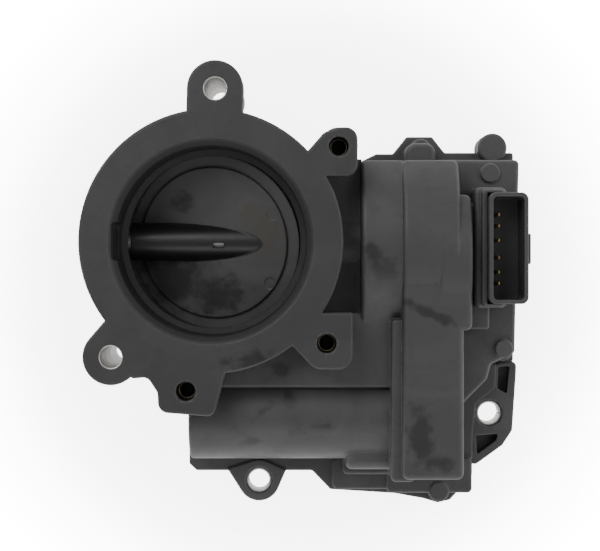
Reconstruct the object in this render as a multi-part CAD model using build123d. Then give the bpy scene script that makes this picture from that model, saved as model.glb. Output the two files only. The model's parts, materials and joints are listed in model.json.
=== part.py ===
from build123d import *
import os
from math import acos, atan2, ceil, cos, degrees, floor, hypot, pi, radians, sin, sqrt, tan

# Electronic throttle body, in millimetres. The origin is on the bore's axis, in the face that
# meets the manifold. +Z runs along the bore to the inlet flange, +X along the throttle shaft
# towards the gears, and +Y towards the upper fixing lug.

# ---- driving dimensions: body and bore
body_height = 45.0
flange_radius = 40.3
flange_thickness = 7.0
flange_crown = 0.8
web_top = 27.0
mouth_radius = 31.45
inlet_radius = 29.2
bore_radius = 27.2
outlet_radius = 28.2
outlet_length = 8.0
mouth_depth = 2.5
inlet_step_z = 26.0
barrel_radius = 32.5
base_radius = 36.5
base_thickness = 6.5
rib_thickness = 2.4
parting_z = 3.4
cover_bottom = 0.3
cover_top = 2.9

# ---- fixing lugs: long ones through the whole height, short ones at the bottom only
long_lugs = [(1.3, 46.4), (-30.4, -35.2)]
short_lugs = [(13.7, -77.8), (88.9, -55.8)]
lug_radius = 8.6
short_lug_radius = 6.6
short_lug_height = 8.0
lug_column_radius = 7.5
lug_plate_outline = [
    (80, -50), (88, -41.2), (92, -39.4), (97.9, -38.8), (97.9, -42),
    (96.6, -61.5), (93.4, -66.4), (84.3, -73), (80, -70),
]
sleeve_radius = 3.95
sleeve_bore = 3.35
sleeve_top = 44.2
sleeve_lip_radius = 3.7
short_sleeve_top = 7.2
short_lip_radius = 4.5

# ---- duct screws in the inlet flange
duct_screws = [(38.9, 28.8), (35.2, -31.1), (-7.6, -45.6)]
duct_boss_radius = 5.8
insert_radius = 3.0
insert_thread_radius = 2.1
insert_top = 38.6
insert_bottom = 30.2
insert_pocket_bottom = 29.6
left_lobe = [
    (-24, -30), (-24.5, -41.8), (-19.2, -41.4), (-16.2, -46),
    (-15.9, -52), (0.8, -53.3), (4.7, -39), (0, -30),
]
left_lobe_radii = [1, 1, 2.4, 2.4, 3.2, 2.6, 1, 1]
lower_lobe = [(22, -28), (24.5, -31.5), (31.5, -39), (43.2, -39), (43.2, -21.7), (30, -21.7)]
lower_lobe_radii = [1, 1, 5.5, 4.6, 0.6, 1]
upper_lobe = [(24, 24), (29.6, 27.6), (34.3, 33), (38.9, 34.6), (44.6, 34.6), (44.6, 19.7), (30, 19.7)]
upper_lobe_radius = 3.6

# ---- throttle: an oblique plate on a shaft along X
shaft_z = 17.5
shaft_radius = 4.0
running_gap = 0.05
plate_radius = 27.9
belt_radius = 28.2
plate_lean = 13.0
plate_opening = 7.0
rim_half = 1.5
raised_radius = 24.2
raised_half = 2.6
hub_radius = 6.0
hub_half_length = 26.6
shaft_left = -36.6
shaft_right = 64.5

# ---- gears, all on axes along X; teeth counts, modules and layers
pressure_angle = radians(25)
addendum = 0.8
dedendum = 1.05
backlash = 0.12
fine_module = 0.5
coarse_module = 0.65
sector_teeth = 42
small_teeth = 11
large_teeth = 50
idler_teeth = 46
pinion_teeth = 12
sector_layer = (60.8, 65.0)
small_layer = (60.6, 65.6)
large_layer = (65.6, 69.4)
idler_layer = (65.8, 69.2)
pinion_layer = (65.4, 70.0)
compound_z = 19.0
motor_y = -55.5
motor_z = 18.5
gear_pin_radius = 1.5
rotor_shaft_radius = 1.15

# ---- gear case, motor bay and connector
case_left = 46.0
wall = 2.5
case_right = 77.6
patch_right = 97.0
case_bore = 20.3
box_left = 58.6
gear_space_left = 60.0
step_left = 55.3
box_top = 38.5
box_bottom = -73.5
patch_top = 21.0
bridge_right = 80.2
collar_top = 33.0
collar_ridge = 35.0
flat_top = 31.0
motor_shell = 13.7
motor_bore = 10.3
motor_can_radius = 10.0
motor_left = -7.8
cover_screws = [
    (66.3, 30.2), (89.6, 30.7), (92.8, -35.2), (72.2, -80.9), (46.0, -70.6), (42.2, -37.8), (2.0, -39.4),
]
screw_radius = 1.45
screw_head_radius = 2.7
screw_top = 10.0
corner_boss = (89.6, 30.7)
corner_boss_radius = 4.7
short_lug_hull_radius = 6.8
pin_offsets = [-10.7, -7.2, -2.7, 2.7, 7.2, 10.7]
plug_x = 89.0
plug_left = 85.2
plug_y = -2.3
plug_top = 39.0


# ---- basic solids
def block(x0, x1, y0, y1, z0, z1):
    """A box between two corners."""
    return Pos((x0 + x1) / 2, (y0 + y1) / 2, (z0 + z1) / 2) * Box(x1 - x0, y1 - y0, z1 - z0)


def post(x, y, radius, z0, z1):
    """A round post along Z."""
    return Pos(x, y, (z0 + z1) / 2) * Cylinder(radius, z1 - z0)


def ring(x, y, outer, inner, z0, z1):
    """A tube along Z."""
    return post(x, y, outer, z0, z1) - post(x, y, inner, z0 - 1, z1 + 1)


def barrel(y, z, radius, x0, x1):
    """A round bar along X."""
    return Pos((x0 + x1) / 2, y, z) * Rot(0, 90, 0) * Cylinder(radius, x1 - x0)


def sleeve(y, z, outer, inner, x0, x1):
    """A tube along X."""
    return barrel(y, z, outer, x0, x1) - barrel(y, z, inner, x0 - 1, x1 + 1)


def prism(points, z0, z1, corner=0.0, crown=0.0):
    """An upright prism on an outline, with rounded upright corners and a rounded top edge."""
    face = make_face(Polyline(*points, close=True))
    if corner:
        face = fillet(face.vertices(), corner)
    solid = Pos(0, 0, z0) * extrude(face, z1 - z0)
    if crown:
        solid = fillet(solid.faces().sort_by(Axis.Z)[-1].edges(), crown)
    return solid


def slab(x0, x1, y0, y1, z0, z1, corner=1.5, crown=1.0):
    """A rounded block."""
    return prism([(x0, y0), (x1, y0), (x1, y1), (x0, y1)], z0, z1, corner, crown)


def arch(y, z, radius, x0, x1, crown=0.0):
    """A half-round roof along X on straight walls that reach the parting plane."""
    profile = Rectangle(2 * radius, z - parting_z, align=(Align.CENTER, Align.MAX)) + Circle(radius)
    solid = extrude(Plane(origin=(x0, y, z), x_dir=(0, 1, 0), z_dir=(1, 0, 0)) * profile, x1 - x0)
    if crown:
        ends = [f for f in solid.faces() if abs(f.normal_at().X) > 0.99]
        edges = [e for f in ends for e in f.edges() if e.center().Z > parting_z + 0.1]
        solid = fillet(edges, crown)
    return solid - block(x0 - 1, x1 + 1, y - radius - 1, y + radius + 1, -2 * radius, parting_z)


# ---- gears
def gear_centres():
    """(y, z) of the compound gear and of the idler, from the centre distances."""
    reach = coarse_module * (sector_teeth + small_teeth) / 2
    compound = (-sqrt(reach ** 2 - (compound_z - shaft_z) ** 2), compound_z)
    first = fine_module * (large_teeth + idler_teeth) / 2
    second = fine_module * (idler_teeth + pinion_teeth) / 2
    span = hypot(motor_y - compound[0], motor_z - compound[1])
    along = (first ** 2 - second ** 2 + span ** 2) / (2 * span)
    across = sqrt(first ** 2 - along ** 2)
    uy = (motor_y - compound[0]) / span
    uz = (motor_z - compound[1]) / span
    return compound, (compound[0] + along * uy + across * uz, compound[1] + along * uz - across * uy)


compound_centre, idler_centre = gear_centres()
shaft_centre = (0.0, shaft_z)
motor_centre = (motor_y, motor_z)


def heading(start, end):
    """Direction from one gear centre to another, as an angle from +Y towards +Z."""
    return atan2(end[1] - start[1], end[0] - start[0])


def meshed(phase, teeth, direction, mate_teeth):
    """Angle of one tooth of the mate, so that it fills a gap of the first gear."""
    return direction + pi + pi / mate_teeth - (phase - direction) * teeth / mate_teeth


def flank(teeth, module):
    """(radius, half width as an angle) up one side of an involute tooth, root to tip."""
    pitch = teeth * module / 2
    base = pitch * cos(pressure_angle)
    root = pitch - dedendum * module
    tip = pitch + addendum * module
    half = pi / (2 * teeth) - backlash / (2 * pitch)
    involute = tan(pressure_angle) - pressure_angle
    start = max(base, root)
    radii = [start + (tip - start) * i / 4 for i in range(5)]
    if root < base:
        radii = [root] + radii
    out = []
    for r in radii:
        slope = acos(min(1.0, base / max(r, base)))
        out.append((r, half + involute - (tan(slope) - slope)))
    return out


def tooth_points(teeth, module, phase, numbers):
    """Outline points, as polar (radius, angle), over the numbered teeth."""
    side = flank(teeth, module)
    points = []
    for n in numbers:
        middle = phase + 2 * pi * n / teeth
        points += [(r, middle - w) for r, w in side]
        points += [(r, middle + w) for r, w in reversed(side)]
    return points


def toothed(centre, points, layer):
    """A prism along X on an outline given in polar points about a centre."""
    y, z = centre
    corners = [(layer[0], y + r * cos(a), z + r * sin(a)) for r, a in points]
    face = make_face(Polyline(*corners, close=True))
    return extrude(face, layer[1] - layer[0], dir=(1, 0, 0))


def gear(centre, teeth, module, phase, layer):
    return toothed(centre, tooth_points(teeth, module, phase, range(teeth)), layer)


sector_phase = heading(shaft_centre, compound_centre)
small_phase = meshed(sector_phase, sector_teeth, sector_phase, small_teeth)
large_phase = heading(compound_centre, idler_centre)
idler_phase = meshed(large_phase, large_teeth, large_phase, idler_teeth)
pinion_phase = meshed(idler_phase, idler_teeth, heading(idler_centre, motor_centre), pinion_teeth)


# ---- the housing
def rim_outline():
    """Edge of the joint between the housing and its rear cover."""
    return [
        (case_left, 26), (52, 29), (57.5, 29), (62, 34.6), (70.4, 34.6), (74.5, 29.4), (97, 29.4),
        (patch_right, -38.9), (91.8, -40.8), (91, -47.5), (84.7, -52.7), (83.6, -62), (83.6, -76.2),
        (76.4, -84.4), (72.2, -85.4), (67.5, -84), (58, -82.3), (37, -81), (31, -74.8), (-6.8, -74.8),
        (-9.2, -72.6), (-9.2, -42.6), (-2.5, -42.6), (-2.5, -35.4), (6.0, -35.4), (6.0, -42.6),
        (37.5, -42.6), (37.5, -33.5), (case_left, -33.5),
    ]


def patch_outline(inset):
    """Edge of the low part of the case on the connector's side."""
    return [
        (70, 26.2 - inset), (patch_right - inset, 26.2 - inset), (95.6 - inset, -35.4 + inset),
        (88 - inset * 0.5, -39.1 + inset), (86.8 - inset, -43.8 + inset * 0.4), (78.5 - inset, -52.2 + inset),
        (70, -52.2 + inset),
    ]


def flange_face():
    """Outline of the inlet flange with its lugs and screw lobes."""
    face = Sketch() + Circle(flange_radius)
    for x, y in long_lugs:
        reach = hypot(x, y)
        face += Pos(x, y) * Circle(lug_radius)
        face += Rot(0, 0, degrees(atan2(y, x))) * Pos(reach / 2, 0) * Rectangle(reach, 2 * lug_radius)
    face += make_face(FilletPolyline(*left_lobe, radius=left_lobe_radii, close=True))
    face += make_face(FilletPolyline(*lower_lobe, radius=lower_lobe_radii, close=True))
    corner = make_face(Polyline(*upper_lobe, close=True))
    face += fillet(corner.vertices(), upper_lobe_radius)
    return face


def flange_body():
    """Inlet flange, bore barrel and manifold flange, with the ribs between them."""
    top = Pos(0, 0, body_height - flange_thickness) * extrude(flange_face(), flange_thickness)
    top = fillet(top.faces().sort_by(Axis.Z)[-1].edges(), flange_crown)
    body = top + post(0, 0, barrel_radius, 0, body_height - 1) + post(0, 0, base_radius, 0, base_thickness)
    for n in range(16):
        rib = block(barrel_radius - 1, base_radius, -rib_thickness / 2, rib_thickness / 2, 1, 40)
        body += Rot(0, 0, 11.25 + 22.5 * n) * rib
    for x, y in long_lugs:
        body += post(x, y, lug_column_radius, 0, body_height - 1)
        body += lug_neck(x, y, lug_radius * 0.7, barrel_radius - 4, 0, body_height - flange_thickness)
    for x, y in duct_screws:
        body += post(x, y, duct_boss_radius, insert_pocket_bottom - 3, body_height - 1)
    web = block(30, case_left + 0.5, -33, 26, parting_z, web_top)
    return body + (web - block(38, 43.6, -30, 23, 0, web_top - 3))


def prism_disc(radius, z0, z1, crown):
    """A round post with a rounded top edge."""
    disc = post(0, 0, radius, z0, z1)
    return fillet(disc.edges().filter_by(GeomType.CIRCLE).sort_by(Axis.Z)[-1], crown)


def lug_neck(x, y, half, start, z0, z1):
    """Straight-sided web from the barrel out to a lug."""
    neck = block(start, hypot(x, y), -half, half, z0, z1)
    return Rot(0, 0, degrees(atan2(y, x))) * neck


def saddle(x0, x1, y0, y1, edge_z, crest_z, crown):
    """A block along X under a shallow round roof, with its upper edges rounded."""
    roof = ThreePointArc((y0, edge_z), ((y0 + y1) / 2, crest_z), (y1, edge_z))
    walls = Polyline((y1, edge_z), (y1, parting_z), (y0, parting_z), (y0, edge_z))
    side = Plane(origin=(x0, 0, 0), x_dir=(0, 1, 0), z_dir=(1, 0, 0))
    solid = extrude(side * make_face(roof + walls), x1 - x0)
    solid = fillet(solid.edges().filter_by(Axis.Z), 2.0)
    return fillet(solid.faces().sort_by(Axis.Z)[-1].edges(), crown)


def gear_case():
    """Saddle-roofed gear case, its bridge to the connector and the deep box for the gear train."""
    body = saddle(case_left, box_left + 2, -27, 25.5, 29.5, 39.2, 1.4)
    body += saddle(box_left, case_right - 1, -27, 25.5, 30.5, 40.5, 1.6)
    body += saddle(70, bridge_right, -25, 14.5, 34, 40.2, 1.2)
    body += slab(box_left, case_right, box_bottom, -6, parting_z, box_top, 2.0, 1.8)
    body += slab(70, bridge_right, -27.5, -4, parting_z, box_top, 2.0, 1.5)
    body += slab(step_left, box_left + 4, -74.5, -24, parting_z, 35.5, 1.5, 1.0)
    body += slab(step_left, 83, -81.5, -70, parting_z, 11.5, 1.6, 0.8)
    return body


def motor_bay():
    """Round motor housing, the flat shelf beside it and its stiffened gear end."""
    body = arch(motor_y, motor_z, motor_shell, motor_left, box_left + 4, 1.2)
    shelf = slab(-6.5, box_left + 3, -45.7, -22, parting_z, flat_top, 2.0, 1.0)
    body += shelf & block(-20, 80, -60, 0, flat_top - 3.2, body_height)
    body += slab(case_left - 4.4, box_left + 3, -45.7, -22, parting_z, flat_top, 2.0, 1.0)
    body += slab(41.5, box_left + 2, -72, -50, parting_z, 27, 2.0, 3.0)
    body += slab(41, box_left + 2, -75.4, -66, parting_z, 12.5, 1.5, 1.0)
    body += slab(37.6, step_left + 2, -80.6, -70, parting_z, 9.5, 2.0, 0.8)
    return body


def plug_side():
    """Low case on the connector's side, with the collar that holds the connector."""
    body = prism(patch_outline(0), parting_z, patch_top, 1.5, 1.2)
    edge = [(76, -40), (91.2, -39.4), (90.8, -47.4), (84.5, -52.6), (83.4, -62), (83.3, -71), (76, -71)]
    body += prism(edge, parting_z, 9.6, 0.8, 0.5)
    body += slab(76, 86.5, -27.5, -19.5, 15, patch_top + 8, 1.0, 0.8)
    body += slab(81.2, 91.5, -20.7, 16.9, 15, collar_top, 2.0, 1.4)
    body += slab(83.3, 90.6, -20.1, 16.2, 15, collar_ridge, 1.4, 0.9)
    body += slab(78, 84, -14, 12, 15, collar_top - 2, 1.4, 1.2)
    body -= block(plug_left - 0.1, 100, plug_y - 17.1, plug_y + 17.5, patch_top, 60)
    body += Pos(87.6, 21.9, 0) * prism_disc(3.1, 15, patch_top + 1.4, 0.5)
    body += Pos(91.9, -34.0, 0) * prism_disc(2.9, 15, patch_top + 2.2, 0.5)
    return body


def case_body():
    """Gear case, motor bay, connector side and the rim that takes the rear cover."""
    rim = prism(rim_outline(), parting_z, 7.0, 0.9, 0.6)
    rim += Pos(*corner_boss, 0) * prism_disc(corner_boss_radius, parting_z, screw_top + 2, 0.8)
    rim += slab(61, 70.8, 20, 32.0, parting_z, 16, 3.4, 1.5)
    return rim + gear_case() + motor_bay() + plug_side()


def screw_posts():
    """Posts that the cover screws cut into, closed at the top."""
    posts = None
    for x, y in cover_screws:
        column = Pos(x, y, 0) * prism_disc(3.4, parting_z, screw_top + 2, 0.8)
        posts = column if posts is None else posts + column
    return posts


def small_lugs():
    """Short lugs low on the gear case; the right one is a ribbed plate with two pockets."""
    tip = Pos(*short_lugs[0]) * Circle(short_lug_hull_radius)
    hull = make_hull(tip.edges() + Line((3.2, -74), (22.6, -74.4)).edges())
    body = extrude(hull, short_lug_height)
    body = fillet(body.faces().sort_by(Axis.Z)[-1].edges(), 0.6)
    plate = prism(lug_plate_outline, 0, short_lug_height, 1.6, 0.6)
    plate -= prism([(91.9, -40.8), (95.6, -40.4), (94.8, -49.6), (91.6, -47.8)], 3, 20, 0.5)
    plate -= prism([(84.6, -63.2), (91.8, -62.6), (91.4, -64.8), (85.0, -69.4)], 3, 20, 0.4)
    return body + plate


def bore_cut():
    """The air passage: mouth, inlet, working bore with its round belt, and outlet."""
    profile = [
        (0, -1), (outlet_radius, -1), (outlet_radius, outlet_length), (bore_radius, outlet_length + 0.8),
        (bore_radius, inlet_step_z - 0.6), (inlet_radius, inlet_step_z),
        (inlet_radius, body_height - mouth_depth),
        (mouth_radius, body_height), (mouth_radius, body_height + 1), (0, body_height + 1),
    ]
    face = make_face(Polyline(*[(r, 0, z) for r, z in profile], close=True))
    return revolve(face, Axis.Z) + Pos(0, 0, shaft_z) * Sphere(belt_radius)


def chamber():
    """Everything inside the gear case and motor bay, open at the parting plane."""
    inner_left = case_left + wall
    inner_right = case_right - wall
    low = parting_z - 0.5
    body = arch(0, shaft_z, case_bore, inner_left, inner_right)
    body += block(inner_left, inner_right, -case_bore, case_bore, low, 10)
    body += block(gear_space_left, inner_right, box_bottom + wall, -8, low, box_top - 2.3)
    body += arch(motor_y, motor_z, motor_bore, motor_left + wall, box_left + 3)
    body += block(motor_left + wall, box_left + 3, motor_y - motor_bore, motor_y + motor_bore, low, 10)
    body += block(inner_left, box_left + 3, -43.3, -15, low, flat_top - 2.5)
    body += block(inner_left, box_left + 3, motor_y - motor_bore, -42, low, motor_z)
    body += block(inner_right - 1, bridge_right - wall, -25, 11, low, 30)
    body += prism(patch_outline(wall), low, patch_top - wall)
    return body


def housing():
    """The one-piece moulded body."""
    body = flange_body() + case_body()
    body += barrel(0, shaft_z, 11.5, 28, case_left + 1)
    body += barrel(0, shaft_z, 9.5, -38.6, -28)
    body += small_lugs()
    body -= chamber()
    body += screw_posts()
    body -= bore_cut()
    body -= barrel(0, shaft_z, shaft_radius + 0.4, -34, 40)
    body -= barrel(0, shaft_z, 6.0, -39, -29.8)
    body -= barrel(0, shaft_z, 7.5, -39, -37.4)
    body -= barrel(0, shaft_z, 7.0, 35, 42)
    body -= barrel(0, shaft_z, 9.0, 41.5, case_left + wall + 0.1)
    relief = slab(-30.3, -26, -5.8, 5.8, 26, body_height + 1, 1.2, 0)
    body -= relief
    for x, y in long_lugs:
        body -= post(x, y, sleeve_radius, -1, sleeve_top) + post(x, y, sleeve_lip_radius, 0, body_height + 1)
    for x, y in short_lugs:
        body -= post(x, y, sleeve_radius, -1, short_sleeve_top)
        body -= post(x, y, short_lip_radius, short_sleeve_top, short_lug_height + 4)
    for x, y in duct_screws:
        body -= post(x, y, insert_radius, insert_pocket_bottom, body_height + 1)
        body -= post(x, y, insert_radius + 0.35, body_height - 0.5, body_height + 1)
    for x, y in cover_screws:
        body -= post(x, y, screw_radius, parting_z - 1, screw_top + 0.5)
    body -= ring(0, 0, 33.1, 30.5, -1, 2.4)
    for y, z in (compound_centre, idler_centre):
        body -= barrel(y, z, gear_pin_radius, case_left + wall - 1.6, case_left + wall + 1)
    for n in (0, 1):
        y, z = stop_centre(n)
        body -= barrel(y, z, 1.6, case_left + 0.6, case_left + wall + 1)
    for y in plug_pins():
        body -= block(plug_x - 0.7, plug_x + 0.7, y - 0.7, y + 0.7, patch_top - wall - 1, patch_top + 1)
    return body


def plug_pins():
    return [plug_y + offset for offset in pin_offsets]


def stop_centre(n):
    """(y, z) of the closed stop and of the open stop."""
    reach = 16.5
    angle = radians((12.3, 133.7)[n])
    return reach * cos(angle), shaft_z + reach * sin(angle)


# ---- cover and fixings
def rear_cover():
    """Flat rear cover with stiffening ribs inside."""
    face = prism(rim_outline(), cover_bottom, cover_top, 0.9)
    face += post(*corner_boss, corner_boss_radius, cover_bottom, cover_top)
    face -= post(0, 0, base_radius + 0.4, -1, 5)
    for x, y in short_lugs:
        face -= post(x, y, short_lug_radius + 0.6, -1, 5)
    face -= lug_clearance()
    for x, y in cover_screws:
        face -= post(x, y, screw_radius, -1, 5)
        face -= post(x, y, screw_head_radius + 0.2, -1, 1.9)
    return face


def lug_clearance():
    """Room in the cover and gasket for the short lugs' plates."""
    left = prism([(2.4, -73.5), (4, -70.6), (23.5, -70.6), (25.2, -73.5), (21.4, -90), (5.8, -90)], -1, 5)
    grown = offset(make_face(Polyline(*lug_plate_outline, close=True)), 0.4)
    return left + Pos(0, 0, -1) * extrude(grown, 6)


def cover_gasket():
    """Flat rubber gasket that follows the rim."""
    outline = prism(rim_outline(), cover_top, parting_z, 0.9) - chamber()
    for x, y in cover_screws:
        outline -= post(x, y, screw_radius + 0.3, 0, 5)
    for x, y in short_lugs:
        outline -= post(x, y, short_lug_radius + 0.6, -1, 5)
    outline -= lug_clearance()
    outline -= post(0, 0, base_radius + 0.4, -1, 5)
    return max(outline.solids(), key=lambda s: s.volume)


def cover_screw(x, y):
    """Pan-head screw from below, with a six-lobed recess stood in for by a hexagon."""
    screw = post(x, y, screw_head_radius, 0.5, 1.9) + post(x, y, screw_radius, 1.9, screw_top)
    return screw - Pos(x, y, 0) * extrude(RegularPolygon(1.3, 6), 1.2)


def long_sleeve(x, y):
    tube = ring(x, y, sleeve_radius, sleeve_bore, 0, sleeve_top)
    mouth = tube.edges().filter_by(GeomType.CIRCLE).filter_by(lambda e: abs(e.radius - sleeve_bore) < 0.01)
    return chamfer(mouth.sort_by(Axis.Z)[-1], 0.2)


def short_sleeve(x, y):
    return ring(x, y, sleeve_radius, sleeve_bore, 0, short_sleeve_top)


def duct_insert(x, y):
    """Knurled brass insert, shown with three plain grooves."""
    insert = ring(x, y, insert_radius, insert_thread_radius, insert_bottom, insert_top)
    for n in range(3):
        z = insert_bottom + 1.8 + 2.2 * n
        insert -= ring(x, y, insert_radius + 1, insert_radius - 0.4, z, z + 0.7)
    return insert


# ---- throttle
def plate_frame(solid):
    """Leans a level plate across the shaft and turns it to its resting opening."""
    return Pos(0, 0, shaft_z) * Rot(plate_opening, 0, 0) * Rot(0, -plate_lean, 0) * solid


def throttle_plate():
    """Oblique plate with a round hub and two ejector marks."""
    raised = Cylinder(raised_radius, 2 * raised_half)
    raised = fillet(raised.edges().filter_by(GeomType.CIRCLE), 0.45)
    disc = plate_frame(raised + Cylinder(plate_radius + 1, 2 * rim_half))
    disc &= Pos(0, 0, shaft_z) * Sphere(plate_radius)
    body = disc + barrel(0, shaft_z, hub_radius, -hub_half_length, hub_half_length)
    body -= barrel(0, shaft_z, shaft_radius, -40, 40)
    for x, y in ((19.4, 9.5), (18.7, -12.5)):
        body -= plate_frame(post(x, y, 1.85, raised_half - 0.25, raised_half + 8))
    return body - block(-0.4, 3.0, -1.9, -0.4, shaft_z + 3, shaft_z + 10)


def throttle_shaft():
    shaft = barrel(0, shaft_z, shaft_radius, shaft_left, shaft_right)
    return shaft - block(60.6, shaft_right + 1, 2.8, 6, 0, 40)


def throttle_gear():
    """Toothed sector with its hub, stop arm and magnet cup."""
    count = ceil(108 / (360 / sector_teeth))
    first = -floor(94 / (360 / sector_teeth))
    points = tooth_points(sector_teeth, coarse_module, sector_phase, range(first, first + count))
    wedge = toothed(shaft_centre, [(0.0, 0.0)] + points, sector_layer)
    body = wedge + barrel(0, shaft_z, 6.5, 58.8, sector_layer[1])
    body += barrel(0, shaft_z, 3.8, sector_layer[1] - 1, 70.5)
    arm = block(sector_layer[0], sector_layer[1], 0, 18.5, -2.5, 2.5)
    body += Pos(0, 0, shaft_z) * Rot(35, 0, 0) * arm
    body -= barrel(0, shaft_z, shaft_radius, 50, shaft_right) - block(60.6, 66, 2.8, 6, 0, 40)
    return body - barrel(0, shaft_z, 3.1, 67.4, 71)


def return_spring():
    """Torsion spring: a wound coil with an axial hook."""
    radius = 10.8
    wire = 0.6
    path = Helix(1.6, 6.4, radius, center=(50.2, 0, shaft_z), direction=(1, 0, 0))
    start = path @ 0
    coil = sweep(Plane(origin=start, z_dir=path % 0) * Circle(wire), path=path, is_frenet=True)
    return coil


def bearing_ring(outer, inner, groove):
    """One ring of the ball bearing, with its raceway."""
    track = Pos(44.5, 0, shaft_z) * Rot(0, 90, 0) * Torus(6.4, groove)
    return sleeve(0, shaft_z, outer, inner, 41.6, 47.4) - track


def bearing_balls():
    balls = []
    for n in range(9):
        a = 2 * pi * n / 9
        balls.append(Pos(44.5, 6.4 * cos(a), shaft_z + 6.4 * sin(a)) * Sphere(1.3))
    return balls


def shaft_seal():
    body = sleeve(0, shaft_z, 7.0, 6.0, 36, 39)
    body += sleeve(0, shaft_z, 7.0, shaft_radius + running_gap, 36, 36.9)
    return body + sleeve(0, shaft_z, 4.9, shaft_radius + running_gap, 36, 38.4)


# ---- gears and motor
def compound_gear():
    small = gear(compound_centre, small_teeth, coarse_module, small_phase, small_layer)
    large = gear(compound_centre, large_teeth, fine_module, large_phase, large_layer)
    body = small + large
    y, z = compound_centre
    return body - barrel(y, z, gear_pin_radius + running_gap, 50, 80)


def idler_gear():
    body = gear(idler_centre, idler_teeth, fine_module, idler_phase, idler_layer)
    y, z = idler_centre
    body += barrel(y, z, 3.2, 61, 70)
    body -= sleeve(y, z, 9.6, 4.4, idler_layer[1] - 1.1, idler_layer[1] + 1)
    return body - barrel(y, z, gear_pin_radius + running_gap, 50, 80)


def gear_pin(centre):
    y, z = centre
    return barrel(y, z, gear_pin_radius, case_left + wall - 1.6, 72.6)


def motor_part(outer, inner, x0, x1):
    return sleeve(motor_y, motor_z, outer, inner, x0, x1)


def motor_can():
    """Drawn steel can, closed at the left, with a bush pocket."""
    body = barrel(motor_y, motor_z, motor_can_radius, -2, 44)
    body -= barrel(motor_y, motor_z, motor_can_radius - 1, -0.8, 45)
    body += barrel(motor_y, motor_z, 3.6, -4.6, -1.5)
    return body - barrel(motor_y, motor_z, 2.6, -3.8, 0)


def motor_magnets():
    ring_solid = motor_part(9.0, 8.0, 3, 33)
    for side in (1, -1):
        ring_solid -= block(0, 40, motor_y + side * 6 - 4, motor_y + side * 6 + 4, motor_z - 3, motor_z + 3)
    return ring_solid.solids()


def rotor_core():
    core = barrel(motor_y, motor_z, 7.6, 6, 30) - barrel(motor_y, motor_z, rotor_shaft_radius, 0, 40)
    for n in range(5):
        slot = block(5, 31, 2.6, 6.4, -1.7, 1.7) + block(5, 31, 6, 9, -0.5, 0.5)
        core -= Pos(0, motor_y, motor_z) * Rot(72 * n, 0, 0) * slot
    return core


def rotor_windings():
    """Copper in the five slots, one closed loop at each."""
    coils = []
    for n in range(5):
        coils.append(Pos(0, motor_y, motor_z) * Rot(72 * n, 0, 0) * block(5.2, 30.8, 2.8, 6.2, -1.5, 1.5))
    return coils


def commutator():
    body = motor_part(3.2, rotor_shaft_radius, 34, 40)
    for n in range(5):
        body -= Pos(0, motor_y, motor_z) * Rot(72 * n, 0, 0) * block(33.8, 39, 2.4, 4, -0.15, 0.15)
    return body


def motor_end_cap():
    """Plastic end cap with brush boxes and a bush seat."""
    body = barrel(motor_y, motor_z, motor_can_radius, 44, 48) + motor_part(8.9, 7.8, 38, 44)
    body -= barrel(motor_y, motor_z, 2.6, 43, 49)
    for side in (1, -1):
        body -= barrel(motor_y + side * 7, motor_z, 1.3, 45.5, 49)
    return body - barrel(motor_y, motor_z, 4.2, 43, 45)


def motor_brush(side):
    y0, y1 = sorted((motor_y + side * 3.25, motor_y + side * 7.6))
    return block(35.4, 38.6, y0, y1, motor_z - 1.2, motor_z + 1.2)


def motor_plate():
    """Steel plate that clamps the motor at its gear end."""
    face = barrel(motor_y, motor_z, 10.2, 48, 49.4) - barrel(motor_y, motor_z, 3.0, 47, 50)
    for side in (1, -1):
        face -= barrel(motor_y + side * 7, motor_z, 1.3, 47, 50)
    return face


def motor_screw(side):
    y = motor_y + side * 7
    return barrel(y, motor_z, 1.3, 45.5, 49.4) + barrel(y, motor_z, 2.3, 49.4, 50.9)


# ---- electrics
def connector_shell():
    """Deep socket for the plug, open upwards, with a latch ridge on its outer side."""
    outer = slab(85.2, 97.4, -19.3, 15.1, patch_top, plug_top, 2.3, 0.4)
    outer += slab(96, 98.5, -7.0, 2.4, patch_top + 8, plug_top - 3, 0.4, 0.3)
    outer -= slab(86.5, 96.1, -18.0, 13.8, patch_top + 3, plug_top + 1, 1.4, 0)
    for y in plug_pins():
        outer -= block(plug_x - 0.32, plug_x + 0.32, y - 0.5, y + 0.5, patch_top - 1, patch_top + 4)
    return outer


def connector_pin(y):
    """Blade that rises from the lead frame into the socket."""
    blade = block(plug_x - 0.32, plug_x + 0.32, y - 0.5, y + 0.5, 12.6, plug_top - 6)
    return chamfer(blade.faces().sort_by(Axis.Z)[-1].edges(), 0.18)


def sensor_board():
    return block(73.0, 73.8, -13.5, 13.5, 5.5, 30.5)


def lead_strip(n):
    """Flat conductor from the board to the foot of one pin."""
    y = plug_pins()[n]
    return block(73.8, plug_x + 0.32, y - 0.5, y + 0.5, 12.0, 12.6)


def lead_carrier():
    """Moulded bed that carries the flat conductors."""
    bed = block(75, 93, -17, 13, 9.4, 12.6)
    for n in range(6):
        bed -= lead_strip(n)
    return bed


def manifold_seal():
    return ring(0, 0, 33.0, 30.6, 0.1, 2.4)


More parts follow.
